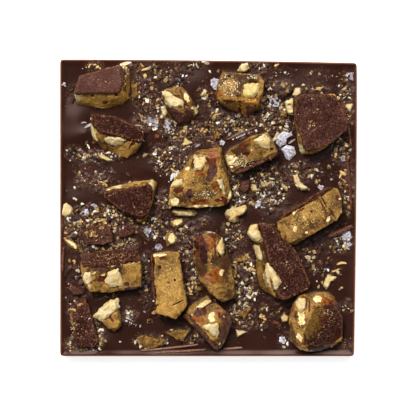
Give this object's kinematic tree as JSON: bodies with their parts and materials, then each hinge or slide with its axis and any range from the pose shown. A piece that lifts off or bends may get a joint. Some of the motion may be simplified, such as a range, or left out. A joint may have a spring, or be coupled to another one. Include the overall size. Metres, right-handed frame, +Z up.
{
  "type": "pecan brittle chocolate slab",
  "caption": "Square dark chocolate slab topped with chocolate coated chunks of pecan brittle, loose pecan pieces, toffee crumbs and flaked salt.",
  "frame": {"origin": "middle of the flat underside", "axes": "+Z up through the slab's thickness with the toppings up, +X right and +Y away as seen from above"},
  "size_m": [0.1, 0.1, 0.0156],
  "materials": {
    "chocolate": "poured dark chocolate, satin, with gentle swells and a thin lip",
    "coat": "dull dark chocolate coat with light scuffs and dust",
    "toffee": "broken butter toffee, golden to brown, grainy with small pores",
    "pecan": "broken pecan flesh, cream, with brown skin at the rims",
    "flake": "thin bubbly flake of toffee",
    "crumbly": "crumbly chocolate and toffee"
  },
  "bodies": {
    "root": {"coat_01": "coat", "coat_02": "coat", "coat_03": "coat", "coat_05": "coat", "coat_06": "coat", "coat_07": "coat", "coat_08": "coat", "coat_09": "coat", "coat_11": "coat", "coat_12": "coat", "coat_13": "coat", "coat_14": "coat", "coat_15": "coat", "coated_piece_1": "coat", "coated_piece_2": "coat", "coated_piece_3": "coat", "crumbly_piece_1": "crumbly", "crumbly_piece_2": "crumbly", "loose_pecan_1": "pecan", "loose_pecan_2": "pecan", "loose_pecan_3": "pecan", "loose_pecan_4": "pecan", "pecan_02": "pecan", "pecan_04_a": "pecan", "pecan_04_b": "pecan", "pecan_04_c": "pecan", "pecan_05": "pecan", "pecan_06": "pecan", "pecan_07": "pecan", "pecan_08": "pecan", "pecan_10": "pecan", "pecan_11_a": "pecan", "pecan_11_b": "pecan", "pecan_11_c": "pecan", "pecan_12_a": "pecan", "pecan_12_b": "pecan", "pecan_14_a": "pecan", "pecan_14_b": "pecan", "pecan_15": "pecan", "pecan_16": "pecan", "slab": "chocolate", "toffee_01": "toffee", "toffee_02": "toffee", "toffee_03": "toffee", "toffee_04": "toffee", "toffee_05": "toffee", "toffee_06": "toffee", "toffee_07": "toffee", "toffee_08": "toffee", "toffee_09": "toffee", "toffee_10": "toffee", "toffee_11": "toffee", "toffee_12": "toffee", "toffee_13": "toffee", "toffee_14": "toffee", "toffee_15": "toffee", "toffee_16": "toffee", "toffee_flake_1": "flake", "toffee_flake_2": "flake"}
  },
  "joints": []
}
